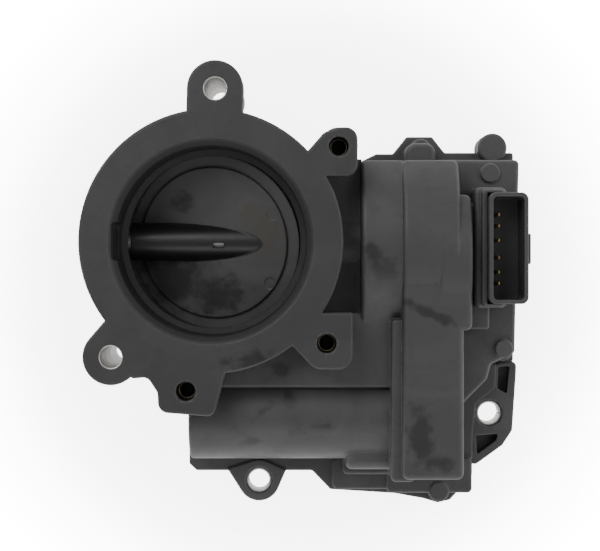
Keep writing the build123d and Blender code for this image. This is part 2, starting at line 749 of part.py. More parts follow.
def parts():
    """Every node and its solid or solids."""
    my, mz = motor_centre
    return {
        "main_housing": [housing()],
        "rear_cover": [rear_cover()],
        "cover_gasket": [cover_gasket()],
        "cover_screws": [cover_screw(x, y) for x, y in cover_screws],
        "long_sleeves": [long_sleeve(x, y) for x, y in long_lugs],
        "short_sleeves": [short_sleeve(x, y) for x, y in short_lugs],
        "duct_inserts": [duct_insert(x, y) for x, y in duct_screws],
        "manifold_seal": [manifold_seal()],
        "left_bearing": [sleeve(0, shaft_z, 6.0, shaft_radius + running_gap, -36.2, -29.8)],
        "shaft_end_plug": [barrel(0, shaft_z, 7.5, -38.6, -37.4)],
        "bearing_outer_ring": [bearing_ring(9.0, 7.4, 1.3)],
        "bearing_balls": bearing_balls(),
        "shaft_seal": [shaft_seal()],
        "stop_pins": [barrel(*stop_centre(n), 1.6, case_left + 0.6, 64.8) for n in (0, 1)],
        "spring_sleeve": [sleeve(0, shaft_z, 9.7, 9.1, case_left + wall, 57.4)],
        "return_spring": [return_spring()],
        "compound_pin": [gear_pin(compound_centre)],
        "idler_pin": [gear_pin(idler_centre)],
        "motor_can": [motor_can()],
        "motor_magnets": motor_magnets(),
        "motor_end_cap": [motor_end_cap()],
        "motor_bushes": [motor_part(2.6, rotor_shaft_radius + running_gap, x, x + 3) for x in (-3.8, 45)],
        "motor_brushes": [motor_brush(side) for side in (1, -1)],
        "motor_plate": [motor_plate()],
        "motor_screws": [motor_screw(side) for side in (1, -1)],
        "connector_shell": [connector_shell()],
        "connector_pins": [connector_pin(y) for y in plug_pins()],
        "sensor_board": [sensor_board()],
        "hall_sensor": [block(71.6, 73.0, -2.4, 2.4, shaft_z - 2, shaft_z + 2)],
        "lead_strips": [lead_strip(n) for n in range(6)],
        "lead_carrier": [lead_carrier()],
        "throttle_plate": [throttle_plate()],
        "throttle_shaft": [throttle_shaft()],
        "bearing_inner_ring": [bearing_ring(5.4, shaft_radius, 1.35)],
        "throttle_gear": [throttle_gear()],
        "sensor_magnet": [barrel(0, shaft_z, 3.1, 67.4, 70.3)],
        "compound_gear": [compound_gear()],
        "idler_gear": [idler_gear()],
        "rotor_shaft": [barrel(my, mz, rotor_shaft_radius, -3.0, 70.6)],
        "rotor_core": [rotor_core()],
        "rotor_windings": rotor_windings(),
        "commutator": [commutator()],
        "motor_pinion": [gear(motor_centre, pinion_teeth, fine_module, pinion_phase, pinion_layer)
                         - barrel(my, mz, rotor_shaft_radius, 60, 75)],
    }


os.makedirs("parts", exist_ok=True)
for node, solids in parts().items():
    shape = solids[0] if len(solids) == 1 else Compound(children=[Part(s.wrapped) for s in solids])
    export_step(shape, f"parts/{node}.step")
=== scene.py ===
import bpy
import json
import math
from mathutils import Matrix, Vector


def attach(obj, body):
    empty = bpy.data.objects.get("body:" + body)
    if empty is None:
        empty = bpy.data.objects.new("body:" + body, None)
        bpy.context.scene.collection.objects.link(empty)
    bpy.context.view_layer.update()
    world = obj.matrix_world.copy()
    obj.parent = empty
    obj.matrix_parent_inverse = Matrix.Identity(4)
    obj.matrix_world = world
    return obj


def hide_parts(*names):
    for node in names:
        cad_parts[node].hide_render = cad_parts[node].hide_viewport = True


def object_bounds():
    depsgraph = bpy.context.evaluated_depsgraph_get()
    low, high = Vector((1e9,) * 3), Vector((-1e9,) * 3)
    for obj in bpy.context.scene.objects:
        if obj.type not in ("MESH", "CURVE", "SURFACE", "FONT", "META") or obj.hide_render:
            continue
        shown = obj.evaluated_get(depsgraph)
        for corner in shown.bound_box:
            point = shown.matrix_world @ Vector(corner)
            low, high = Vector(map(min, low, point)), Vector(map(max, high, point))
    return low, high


# Electronic throttle body: finishes, small detail pieces, floor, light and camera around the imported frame.

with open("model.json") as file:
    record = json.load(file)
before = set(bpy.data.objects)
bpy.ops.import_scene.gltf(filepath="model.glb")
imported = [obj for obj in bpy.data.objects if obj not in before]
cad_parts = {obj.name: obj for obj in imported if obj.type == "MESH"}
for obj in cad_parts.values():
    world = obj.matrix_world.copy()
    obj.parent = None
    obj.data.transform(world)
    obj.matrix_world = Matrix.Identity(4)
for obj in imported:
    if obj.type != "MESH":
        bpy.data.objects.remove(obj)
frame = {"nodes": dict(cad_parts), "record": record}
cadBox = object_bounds()
nodes = frame["nodes"]
mm = 0.001
print("frame loaded:", len(nodes), "nodes")


# Small helpers that build node trees, for shaders and geometry alike.

def newNode(tree, kind, **inputs):
    # Adds a node; keyword names with underscores stand for socket names with spaces.
    node = tree.nodes.new(kind)
    for name, value in inputs.items():
        node.inputs[name.replace("_", " ")].default_value = value
    return node


def link(tree, source, target):
    tree.links.new(source, target)


def mathNode(tree, operation, first, second=None):
    node = tree.nodes.new("ShaderNodeMath")
    node.operation = operation
    for slot, value in enumerate((first, second)):
        if value is None:
            continue
        if isinstance(value, (int, float)):
            node.inputs[slot].default_value = value
        else:
            link(tree, value, node.inputs[slot])
    return node.outputs[0]


def scaled(tree, value, factor):
    return mathNode(tree, "MULTIPLY", value, factor)


def mixColour(tree, factor, first, second, blend="MIX"):
    node = tree.nodes.new("ShaderNodeMix")
    node.data_type = "RGBA"
    node.blend_type = blend
    for slot, value in ((0, factor), (6, first), (7, second)):
        if isinstance(value, (int, float)):
            node.inputs[slot].default_value = value
        elif isinstance(value, tuple):
            node.inputs[slot].default_value = value if len(value) == 4 else value + (1,)
        else:
            link(tree, value, node.inputs[slot])
    return node.outputs[2]


def ramp(tree, value, low, high):
    # Smooth step from 0 at low to 1 at high.
    node = tree.nodes.new("ShaderNodeMapRange")
    node.interpolation_type = "SMOOTHSTEP"
    link(tree, value, node.inputs["Value"])
    node.inputs["From Min"].default_value = low
    node.inputs["From Max"].default_value = high
    return node.outputs["Result"]


def below(tree, value, low, high):
    # The opposite step, from 1 at low to 0 at high.
    return mathNode(tree, "SUBTRACT", 1.0, ramp(tree, value, low, high))


def newGroup(name, inputs, outputs):
    group = bpy.data.node_groups.new(name, "ShaderNodeTree")
    for label, kind, value in inputs:
        socket = group.interface.new_socket(label, in_out="INPUT", socket_type=kind)
        if value is not None:
            socket.default_value = value
    for label, kind in outputs:
        group.interface.new_socket(label, in_out="OUTPUT", socket_type=kind)
    return group, group.nodes.new("NodeGroupInput"), group.nodes.new("NodeGroupOutput")


# Effects that several finishes share.

def buildMouldGrain():
    # Fine sparkle-eroded tool texture with slow flow marks.
    group, given, result = newGroup(
        "mouldGrain",
        [("Vector", "NodeSocketVector", None), ("Grain", "NodeSocketFloat", 4200.0),
         ("Flow", "NodeSocketFloat", 38.0)],
        [("Height", "NodeSocketFloat"), ("Mottle", "NodeSocketFloat"), ("Cloud", "NodeSocketFloat")])
    grain = newNode(group, "ShaderNodeTexNoise", Detail=3.0, Roughness=0.62)
    flow = newNode(group, "ShaderNodeTexNoise", Detail=5.0, Roughness=0.6, Distortion=0.6)
    cloud = newNode(group, "ShaderNodeTexNoise", Detail=4.0, Roughness=0.55, Distortion=1.2)
    link(group, given.outputs["Vector"], grain.inputs["Vector"])
    link(group, given.outputs["Vector"], flow.inputs["Vector"])
    link(group, given.outputs["Vector"], cloud.inputs["Vector"])
    link(group, given.outputs["Grain"], grain.inputs["Scale"])
    link(group, scaled(group, given.outputs["Flow"], 6.0), flow.inputs["Scale"])
    link(group, given.outputs["Flow"], cloud.inputs["Scale"])
    link(group, grain.outputs["Fac"], result.inputs["Height"])
    link(group, flow.outputs["Fac"], result.inputs["Mottle"])
    link(group, cloud.outputs["Fac"], result.inputs["Cloud"])
    return group


wearAndHighlightLook = dict(samples=6, turnRange=(0.02, 0.22), breakRange=(0.25, 0.7))


def buildEdgeWearAndHighlight():
    # Mask of the outer edges, broken up by noise, which paints worn edges and highlight lines, and the
    # softened normal.
    group, given, result = newGroup(
        "edgeWearAndHighlight",
        [("Vector", "NodeSocketVector", None), ("Radius", "NodeSocketFloat", 0.0006),
         ("Breakup", "NodeSocketFloat", 900.0)],
        [("Mask", "NodeSocketFloat"), ("Normal", "NodeSocketVector")])
    bevel = group.nodes.new("ShaderNodeBevel")
    bevel.samples = wearAndHighlightLook["samples"]
    link(group, given.outputs["Radius"], bevel.inputs["Radius"])
    surface = group.nodes.new("ShaderNodeNewGeometry")
    dot = group.nodes.new("ShaderNodeVectorMath")
    dot.operation = "DOT_PRODUCT"
    link(group, bevel.outputs["Normal"], dot.inputs[0])
    link(group, surface.outputs["Normal"], dot.inputs[1])
    turn = mathNode(group, "SUBTRACT", 1.0, dot.outputs["Value"])
    noise = newNode(group, "ShaderNodeTexNoise", Detail=3.0)
    link(group, given.outputs["Vector"], noise.inputs["Vector"])
    link(group, given.outputs["Breakup"], noise.inputs["Scale"])
    bent = ramp(group, turn, *wearAndHighlightLook["turnRange"])
    broken = ramp(group, noise.outputs["Fac"], *wearAndHighlightLook["breakRange"])
    wornAndHighlight = scaled(group, bent, broken)
    link(group, wornAndHighlight, result.inputs["Mask"])
    link(group, bevel.outputs["Normal"], result.inputs["Normal"])
    return group


mouldGrain = buildMouldGrain()
edgeWearAndHighlight = buildEdgeWearAndHighlight()
print("shared effects built")


# Helpers and finishes for each material.

def startMaterial(name):
    material = bpy.data.materials.new(name)
    material.use_nodes = True
    tree = material.node_tree
    tree.nodes.clear()
    output = tree.nodes.new("ShaderNodeOutputMaterial")
    shader = tree.nodes.new("ShaderNodeBsdfPrincipled")
    link(tree, shader.outputs["BSDF"], output.inputs["Surface"])
    place = tree.nodes.new("ShaderNodeTexCoord")
    return material, tree, shader, place.outputs["Object"]


def addGroup(tree, group, vector):
    node = tree.nodes.new("ShaderNodeGroup")
    node.node_tree = group
    link(tree, vector, node.inputs["Vector"])
    return node


def finishSurface(tree, shader, grain, wearAndHighlight, strength, height):
    # Fine grain laid over the softened edges.
    bump = newNode(tree, "ShaderNodeBump", Strength=strength, Distance=height)
    link(tree, grain.outputs["Height"], bump.inputs["Height"])
    link(tree, wearAndHighlight.outputs["Normal"], bump.inputs["Normal"])
    link(tree, bump.outputs["Normal"], shader.inputs["Normal"])


blot = dict(grainScale=230.0, reach=1.35, tearing=2.6, edge=(0.25, 0.95), seedSkew=1.7)


def softBlot(tree, vector, centre, size, seed, turn=0.0):
    # One soft blot: a flattened ball of influence, torn by noise.
    noise = newNode(tree, "ShaderNodeTexNoise", Scale=blot["grainScale"], Detail=5.0, Roughness=0.66)
    offset = tree.nodes.new("ShaderNodeVectorMath")
    offset.operation = "ADD"
    offset.inputs[1].default_value = (seed, seed * blot["seedSkew"], 0)
    link(tree, vector, offset.inputs[0])
    link(tree, offset.outputs[0], noise.inputs["Vector"])
    mapping = tree.nodes.new("ShaderNodeMapping")
    mapping.vector_type = "TEXTURE"
    mapping.inputs["Location"].default_value = centre
    mapping.inputs["Rotation"].default_value = (0, 0, turn)
    mapping.inputs["Scale"].default_value = size
    link(tree, vector, mapping.inputs["Vector"])
    length = tree.nodes.new("ShaderNodeVectorMath")
    length.operation = "LENGTH"
    link(tree, mapping.outputs["Vector"], length.inputs[0])
    reach = mathNode(tree, "SUBTRACT", blot["reach"], length.outputs["Value"])
    swing = mathNode(tree, "SUBTRACT", noise.outputs["Fac"], 0.5)
    torn = mathNode(tree, "ADD", reach, scaled(tree, swing, blot["tearing"]))
    return ramp(tree, torn, *blot["edge"])


def radialDistance(tree, vector, centre, plane):
    # Distance from a line through centre; plane names the two axes that count.
    split = tree.nodes.new("ShaderNodeSeparateXYZ")
    link(tree, vector, split.inputs[0])
    total = None
    for axis, middle in zip(plane, centre):
        offset = mathNode(tree, "SUBTRACT", split.outputs[axis], middle)
        square = scaled(tree, offset, offset)
        total = square if total is None else mathNode(tree, "ADD", total, square)
    return mathNode(tree, "SQRT", total)


def joinMasks(tree, masks):
    total = masks[0]
    for mask in masks[1:]:
        total = mathNode(tree, "MAXIMUM", total, mask)
    return total


casing = dict(
    base=(0.0330, 0.0332, 0.0334), light=(0.0420, 0.0422, 0.0424), dark=(0.0250, 0.0252, 0.0255),
    wornAndHighlight=(0.22, 0.22, 0.222), bore=(0.0050, 0.0051, 0.0053), oil=(0.0125, 0.0126, 0.0130),
    roughness=0.44, oilRoughness=0.16, grainHeight=0.00003, boreRadius=0.0313,
    topShadeHeight=0.0430, paintedTopShade=0.66,
    lowHeight=0.022, lowReach=0.014, lowPaintedLightGain=1.25, topShadeReach=0.0015, boreReach=0.0012,
    cloudRange=(0.36, 0.66), mottleRange=(0.5, 0.75), mottleMix=0.5, oilMix=0.7, wornAndHighlightMix=0.55, boreMix=0.9,
    grainRough=0.16, boreRough=0.12, bump=0.5,
    smudges=[
        ((0.0525, -0.012, 0.034), (0.005, 0.010, 0.03), 0.13, 0.0),
        ((0.0495, -0.004, 0.038), (0.003, 0.006, 0.03), 0.71, 0.3),
        ((0.067, -0.022, 0.038), (0.011, 0.0018, 0.03), 0.37, -0.42),
        ((0.064, -0.060, 0.038), (0.0045, 0.010, 0.03), 0.55, 0.1),
        ((0.070, -0.068, 0.038), (0.006, 0.003, 0.03), 0.91, 0.0),
        ((0.017, -0.052, 0.03), (0.004, 0.0018, 0.03), 0.23, 0.5),
        ((0.024, -0.050, 0.03), (0.0022, 0.003, 0.03), 0.47, 0.0),
        ((0.0135, -0.0365, 0.045), (0.010, 0.0038, 0.02), 0.83, 0.1),
        ((0.012, -0.0625, 0.025), (0.004, 0.002, 0.03), 0.31, 0.3),
        ((0.034, -0.058, 0.03), (0.005, 0.0022, 0.03), 0.63, -0.2),
        ((0.021, -0.040, 0.03), (0.004, 0.003, 0.03), 0.19, 0.0)])


def makeCasing():
    # Charcoal glass-filled plastic with flow marks, worn edges with painted highlight lines, oily blots, a
    # bore darkened by painted shade, painted shade on the top faces and painted light on the low faces.
    s = casing
    material, tree, shader, place = startMaterial("casing")
    grain = addGroup(tree, mouldGrain, place)
    wearAndHighlight = addGroup(tree, edgeWearAndHighlight, place)
    mottle = scaled(tree, ramp(tree, grain.outputs["Mottle"], *s["mottleRange"]), s["mottleMix"])
    colour = mixColour(tree, ramp(tree, grain.outputs["Cloud"], *s["cloudRange"]), s["base"], s["light"])
    colour = mixColour(tree, mottle, colour, s["dark"])
    oil = joinMasks(tree, [softBlot(tree, place, *spot) for spot in s["smudges"]])
    colour = mixColour(tree, scaled(tree, oil, s["oilMix"]), colour, s["oil"])
    # Light colour along the edge mask: worn edges and painted highlight lines.
    colour = mixColour(tree, scaled(tree, wearAndHighlight.outputs["Mask"], s["wornAndHighlightMix"]), colour, s["wornAndHighlight"])
    split = tree.nodes.new("ShaderNodeSeparateXYZ")
    link(tree, place, split.inputs[0])
    # Painted light: faces below the low height are lightened.
    low = below(tree, split.outputs["Z"], s["lowHeight"], s["lowHeight"] + s["lowReach"])
    lowPaintedLightTint = (s["lowPaintedLightGain"],) * 3
    colour = mixColour(tree, low, colour, mixColour(tree, 1.0, colour, lowPaintedLightTint, "MULTIPLY"))
    # Painted shade: faces above the top height are darkened.
    paintedTopShade = ramp(tree, split.outputs["Z"], s["topShadeHeight"], s["topShadeHeight"] + s["topShadeReach"])
    shade = (s["paintedTopShade"],) * 3
    colour = mixColour(tree, paintedTopShade, colour, mixColour(tree, 1.0, colour, shade, "MULTIPLY"))
    # Painted shade: the bore wall inside the bore radius is darkened.
    radius = radialDistance(tree, place, (0.0, 0.0), "XY")
    inside = below(tree, radius, s["boreRadius"] - s["boreReach"], s["boreRadius"])
    colour = mixColour(tree, scaled(tree, inside, s["boreMix"]), colour, s["bore"])
    link(tree, colour, shader.inputs["Base Color"])
    rough = mathNode(tree, "ADD", s["roughness"], scaled(tree, grain.outputs["Mottle"], s["grainRough"]))
    rough = mathNode(tree, "ADD", rough, scaled(tree, inside, s["boreRough"]))
    rough = mathNode(tree, "SUBTRACT", rough, scaled(tree, oil, s["oilRoughness"]))
    link(tree, rough, shader.inputs["Roughness"])
    finishSurface(tree, shader, grain, wearAndHighlight, s["bump"], s["grainHeight"])
    return material


plate = dict(
    base=(0.0500, 0.0502, 0.0502), light=(0.0640, 0.0636, 0.0624), hub=(0.0100, 0.0101, 0.0104),
    stain=(0.052, 0.044, 0.035), darkPatch=(0.0125, 0.0126, 0.0130), roughness=0.42,
    hubRadius=0.0061, hubReach=0.0002, shaftHeight=0.0175, grainHeight=0.000018, wornAndHighlight=(0.20, 0.20, 0.20),
    cloudRange=(0.36, 0.66), stainMix=0.7, darkPatchMix=0.75, wornAndHighlightMix=0.5,
    grainRough=0.14, smoothing=0.12, bump=0.4,
    stains=[
        ((0.017, 0.003, 0.017), (0.006, 0.009, 0.02), 0.29, 0.2),
        ((0.012, 0.009, 0.017), (0.004, 0.004, 0.02), 0.61, 0.0)],
    darkPatches=[
        ((-0.014, -0.012, 0.017), (0.013, 0.012, 0.02), 0.41, 0.3),
        ((0.002, -0.017, 0.017), (0.010, 0.007, 0.02), 0.77, 0.0),
        ((-0.010, 0.013, 0.017), (0.004, 0.004, 0.02), 0.11, 0.0)])


def makePlate():
    # Smooth dark hub, dry face, a brown stain to the right, darker and smoother patches to the lower left,
    # and worn edges with painted highlight lines.
    s = plate
    material, tree, shader, place = startMaterial("throttlePlate")
    grain = addGroup(tree, mouldGrain, place)
    wearAndHighlight = addGroup(tree, edgeWearAndHighlight, place)
    colour = mixColour(tree, ramp(tree, grain.outputs["Cloud"], *s["cloudRange"]), s["base"], s["light"])
    stain = joinMasks(tree, [softBlot(tree, place, *spot) for spot in s["stains"]])
    darkPatch = joinMasks(tree, [softBlot(tree, place, *spot) for spot in s["darkPatches"]])
    colour = mixColour(tree, scaled(tree, stain, s["stainMix"]), colour, s["stain"])
    colour = mixColour(tree, scaled(tree, darkPatch, s["darkPatchMix"]), colour, s["darkPatch"])
    # Light colour along the edge mask: worn edges and painted highlight lines on the raised disc.
    colour = mixColour(tree, scaled(tree, wearAndHighlight.outputs["Mask"], s["wornAndHighlightMix"]), colour, s["wornAndHighlight"])
    toShaft = radialDistance(tree, place, (0.0, s["shaftHeight"]), "YZ")
    onHub = below(tree, toShaft, s["hubRadius"], s["hubRadius"] + s["hubReach"])
    colour = mixColour(tree, onHub, colour, s["hub"])
    link(tree, colour, shader.inputs["Base Color"])
    rough = mathNode(tree, "ADD", s["roughness"], scaled(tree, grain.outputs["Mottle"], s["grainRough"]))
    rough = mathNode(tree, "SUBTRACT", rough, scaled(tree, joinMasks(tree, [darkPatch, onHub]), s["smoothing"]))
    link(tree, rough, shader.inputs["Roughness"])
    finishSurface(tree, shader, grain, wearAndHighlight, s["bump"], s["grainHeight"])
    return material


plastic = dict(cloudRange=(0.35, 0.7), wornAndHighlightGain=2.2, wornAndHighlightLift=0.05, grainRough=0.12, bump=0.4)


def makePlastic(name, base, light, roughness, wornAndHighlightAmount=0.2, grainHeight=0.00002):
    # Plain moulded plastic with fine grain and slightly worn edges with painted highlight lines.
    s = plastic
    material, tree, shader, place = startMaterial(name)
    grain = addGroup(tree, mouldGrain, place)
    wearAndHighlight = addGroup(tree, edgeWearAndHighlight, place)
    colour = mixColour(tree, ramp(tree, grain.outputs["Cloud"], *s["cloudRange"]), base, light)
    # Lighter edge colour: worn edges and painted highlight lines.
    wornAndHighlight = tuple(min(1.0, c * s["wornAndHighlightGain"] + s["wornAndHighlightLift"]) for c in light)
    colour = mixColour(tree, scaled(tree, wearAndHighlight.outputs["Mask"], wornAndHighlightAmount), colour, wornAndHighlight)
    link(tree, colour, shader.inputs["Base Color"])
    rough = mathNode(tree, "ADD", roughness, scaled(tree, grain.outputs["Mottle"], s["grainRough"]))
    link(tree, rough, shader.inputs["Roughness"])
    finishSurface(tree, shader, grain, wearAndHighlight, s["bump"], grainHeight)
    return material


metal = dict(
    marksScale=6.0, filmScale=120.0, filmRange=(0.4, 0.7), filmRough=0.16, bump=0.25, markDepth=0.00001)


def makeMetal(name, base, tint, roughness, stretch=(60, 900, 900)):
    # Bare metal with fine tool marks and a slight film.
    s = metal
    material, tree, shader, place = startMaterial(name)
    shader.inputs["Metallic"].default_value = 1.0
    mapping = tree.nodes.new("ShaderNodeMapping")
    mapping.inputs["Scale"].default_value = stretch
    link(tree, place, mapping.inputs["Vector"])
    marks = newNode(tree, "ShaderNodeTexNoise", Scale=s["marksScale"], Detail=4.0)
    darkPatch = newNode(tree, "ShaderNodeTexNoise", Scale=s["filmScale"], Detail=4.0)
    link(tree, mapping.outputs["Vector"], marks.inputs["Vector"])
    link(tree, place, darkPatch.inputs["Vector"])
    colour = mixColour(tree, ramp(tree, darkPatch.outputs["Fac"], *s["filmRange"]), base, tint)
    link(tree, colour, shader.inputs["Base Color"])
    rough = mathNode(tree, "ADD", roughness, scaled(tree, darkPatch.outputs["Fac"], s["filmRough"]))
    link(tree, rough, shader.inputs["Roughness"])
    bump = newNode(tree, "ShaderNodeBump", Strength=s["bump"], Distance=s["markDepth"])
    link(tree, marks.outputs["Fac"], bump.inputs["Height"])
    link(tree, bump.outputs["Normal"], shader.inputs["Normal"])
    return material


materials = {
    "case_plastic": makeCasing(),
    "cover_plastic": makePlastic("coverPlastic", (0.024, 0.024, 0.025), (0.032, 0.032, 0.033), 0.48),
    "black_plastic": makePlastic("blackPlastic", (0.0340, 0.0346, 0.0352), (0.0430, 0.0436, 0.0442), 0.36),
    "plate_plastic": makePlate(),
    "gear_plastic": makePlastic("gearPlastic", (0.62, 0.58, 0.48), (0.70, 0.66, 0.56), 0.5, 0.1),
    "rubber": makePlastic("rubber", (0.012, 0.012, 0.012), (0.018, 0.018, 0.018), 0.7, 0.05),
    "board": makePlastic("board", (0.015, 0.10, 0.045), (0.02, 0.13, 0.06), 0.35, 0.05),
    "sleeve_steel": makeMetal("sleeveSteel", (0.78, 0.77, 0.75), (0.58, 0.57, 0.55), 0.32),
    "screw_steel": makeMetal("screwSteel", (0.50, 0.50, 0.50), (0.40, 0.40, 0.41), 0.32),
    "bearing_steel": makeMetal("bearingSteel", (0.62, 0.62, 0.63), (0.55, 0.55, 0.56), 0.16),
    "spring_steel": makeMetal("springSteel", (0.22, 0.22, 0.23), (0.16, 0.16, 0.17), 0.3),
    "can_steel": makeMetal("canSteel", (0.48, 0.48, 0.47), (0.38, 0.38, 0.37), 0.34),
    "brass": makeMetal("brass", (0.16, 0.13, 0.09), (0.10, 0.085, 0.06), 0.45),
    "pin_metal": makeMetal("pinMetal", (0.83, 0.62, 0.25), (0.70, 0.50, 0.20), 0.22),
    "magnet": makeMetal("magnet", (0.09, 0.09, 0.095), (0.06, 0.06, 0.06), 0.55),
    "carbon": makePlastic("carbon", (0.02, 0.02, 0.02), (0.03, 0.03, 0.03), 0.6),
    "copper": makeMetal("copper", (0.62, 0.28, 0.14), (0.45, 0.20, 0.10), 0.3),
    "lamination": makeMetal("lamination", (0.24, 0.24, 0.25), (0.18, 0.18, 0.18), 0.42, (900, 60, 60)),
}
slotOf = {part["node"]: part["material_slot"] for part in frame["record"]["subparts"]}
for name, piece in nodes.items():
    for index in range(max(1, len(piece.data.materials))):
        if index < len(piece.data.materials):
            piece.data.materials[index] = materials[slotOf[name]]
        else:
            piece.data.materials.append(materials[slotOf[name]])
print("finishes on the frame's nodes")


# Turned pieces that repeat are grown on points by a Geometry Nodes tree.

def between(tree, value, low, high):
    node = tree.nodes.new("ShaderNodeMapRange")
    link(tree, value, node.inputs["Value"])
    link(tree, low, node.inputs["From Min"])
    link(tree, high, node.inputs["From Max"])
    return node.outputs["Result"]


turned = dict(step=0.00022, edgeSteps=4, coreSides=32, coreStart=0.6)


def buildTurned(name, split, cored, resampled):
    # A ring with rounded edges; its inner and outer walls can wave for lobes, threads, knurls and nubs.
    group = bpy.data.node_groups.new(name, "GeometryNodeTree")
    group.interface.new_socket("Geometry", in_out="INPUT", socket_type="NodeSocketGeometry")
    lengths = ("Inner", "Outer", "Bottom", "Top", "Edge", "Inner Depth", "Outer Depth", "Inner Twist",
               "Gap", "Core", "Core End")
    for label in lengths:
        group.interface.new_socket(label, in_out="INPUT", socket_type="NodeSocketFloat")
    for label in ("Inner Waves", "Outer Waves", "Segments"):
        group.interface.new_socket(label, in_out="INPUT", socket_type="NodeSocketInt")
    group.interface.new_socket("Finish", in_out="INPUT", socket_type="NodeSocketMaterial")
    group.interface.new_socket("Geometry", in_out="OUTPUT", socket_type="NodeSocketGeometry")
    given = group.nodes.new("NodeGroupInput").outputs
    result = group.nodes.new("NodeGroupOutput")
    middle = scaled(group, mathNode(group, "ADD", given["Inner"], given["Outer"]), 0.5)
    if split:
        spine = group.nodes.new("GeometryNodeCurveArc")
        sweep = mathNode(group, "SUBTRACT", 2 * math.pi, mathNode(group, "DIVIDE", given["Gap"], middle))
        link(group, sweep, spine.inputs["Sweep Angle"])
    else:
        spine = group.nodes.new("GeometryNodeCurvePrimitiveCircle")
    link(group, middle, spine.inputs["Radius"])
    link(group, given["Segments"], spine.inputs["Resolution"])
    outline = group.nodes.new("GeometryNodeCurvePrimitiveQuadrilateral")
    link(group, mathNode(group, "SUBTRACT", given["Outer"], given["Inner"]), outline.inputs["Width"])
    link(group, mathNode(group, "SUBTRACT", given["Top"], given["Bottom"]), outline.inputs["Height"])
    rounded = group.nodes.new("GeometryNodeFilletCurve")
    rounded.mode = "POLY"
    rounded.inputs["Count"].default_value = turned["edgeSteps"]
    link(group, outline.outputs[0], rounded.inputs["Curve"])
    link(group, given["Edge"], rounded.inputs["Radius"])
    profile = rounded.outputs[0]
    if resampled:
        steps = group.nodes.new("GeometryNodeResampleCurve")
        steps.mode = "LENGTH"
        steps.inputs["Length"].default_value = turned["step"]
        link(group, profile, steps.inputs["Curve"])
        profile = steps.outputs[0]
    swept = group.nodes.new("GeometryNodeCurveToMesh")
    link(group, spine.outputs["Curve"], swept.inputs["Curve"])
    link(group, profile, swept.inputs["Profile Curve"])
    swept.inputs["Fill Caps"].default_value = split
    lift = group.nodes.new("GeometryNodeTransform")
    height = group.nodes.new("ShaderNodeCombineXYZ")
    halfway = scaled(group, mathNode(group, "ADD", given["Bottom"], given["Top"]), 0.5)
    link(group, halfway, height.inputs["Z"])
    link(group, swept.outputs[0], lift.inputs["Geometry"])
    link(group, height.outputs[0], lift.inputs["Translation"])
    place = group.nodes.new("GeometryNodeInputPosition")
    apart = group.nodes.new("ShaderNodeSeparateXYZ")
    link(group, place.outputs[0], apart.inputs[0])
    x, y, z = apart.outputs
    angle = mathNode(group, "ARCTAN2", y, x)
    squares = mathNode(group, "ADD", scaled(group, x, x), scaled(group, y, y))
    radius = mathNode(group, "SQRT", squares)
    turn = scaled(group, z, given["Inner Twist"])
    innerPhase = mathNode(group, "ADD", scaled(group, angle, given["Inner Waves"]), turn)
    outerPhase = scaled(group, angle, given["Outer Waves"])
    innerWave = scaled(group, mathNode(group, "COSINE", innerPhase), given["Inner Depth"])
    outerWave = scaled(group, mathNode(group, "COSINE", outerPhase), given["Outer Depth"])
    innerWave = scaled(group, innerWave, between(group, radius, middle, given["Inner"]))
    outerWave = scaled(group, outerWave, between(group, radius, middle, given["Outer"]))
    stretch = mathNode(group, "DIVIDE", mathNode(group, "ADD", innerWave, outerWave), radius)
    offset = group.nodes.new("ShaderNodeCombineXYZ")
    link(group, scaled(group, x, stretch), offset.inputs["X"])
    link(group, scaled(group, y, stretch), offset.inputs["Y"])
    waved = group.nodes.new("GeometryNodeSetPosition")
    link(group, lift.outputs[0], waved.inputs["Geometry"])
    link(group, offset.outputs[0], waved.inputs["Offset"])
    shape = waved.outputs[0]
    if cored:
        core = group.nodes.new("GeometryNodeMeshCylinder")
        core.inputs["Vertices"].default_value = turned["coreSides"]
        link(group, given["Core"], core.inputs["Radius"])
        coreStart = scaled(group, given["Top"], turned["coreStart"])
        depth = mathNode(group, "SUBTRACT", given["Core End"], coreStart)
        link(group, depth, core.inputs["Depth"])
        coreLift = group.nodes.new("GeometryNodeTransform")
        coreHeight = group.nodes.new("ShaderNodeCombineXYZ")
        coreMiddle = mathNode(group, "SUBTRACT", given["Core End"], scaled(group, depth, 0.5))
        link(group, coreMiddle, coreHeight.inputs["Z"])
        link(group, core.outputs["Mesh"], coreLift.inputs["Geometry"])
        link(group, coreHeight.outputs[0], coreLift.inputs["Translation"])
        joined = group.nodes.new("GeometryNodeJoinGeometry")
        link(group, shape, joined.inputs[0])
        link(group, coreLift.outputs[0], joined.inputs[0])
        shape = joined.outputs[0]
    copies = group.nodes.new("GeometryNodeInstanceOnPoints")
    link(group, given["Geometry"], copies.inputs["Points"])
    link(group, shape, copies.inputs["Instance"])
    real = group.nodes.new("GeometryNodeRealizeInstances")
    link(group, copies.outputs[0], real.inputs["Geometry"])
    finish = group.nodes.new("GeometryNodeSetMaterial")
    link(group, real.outputs[0], finish.inputs["Geometry"])
    link(group, given["Finish"], finish.inputs["Material"])
    link(group, finish.outputs[0], result.inputs[0])
    return group


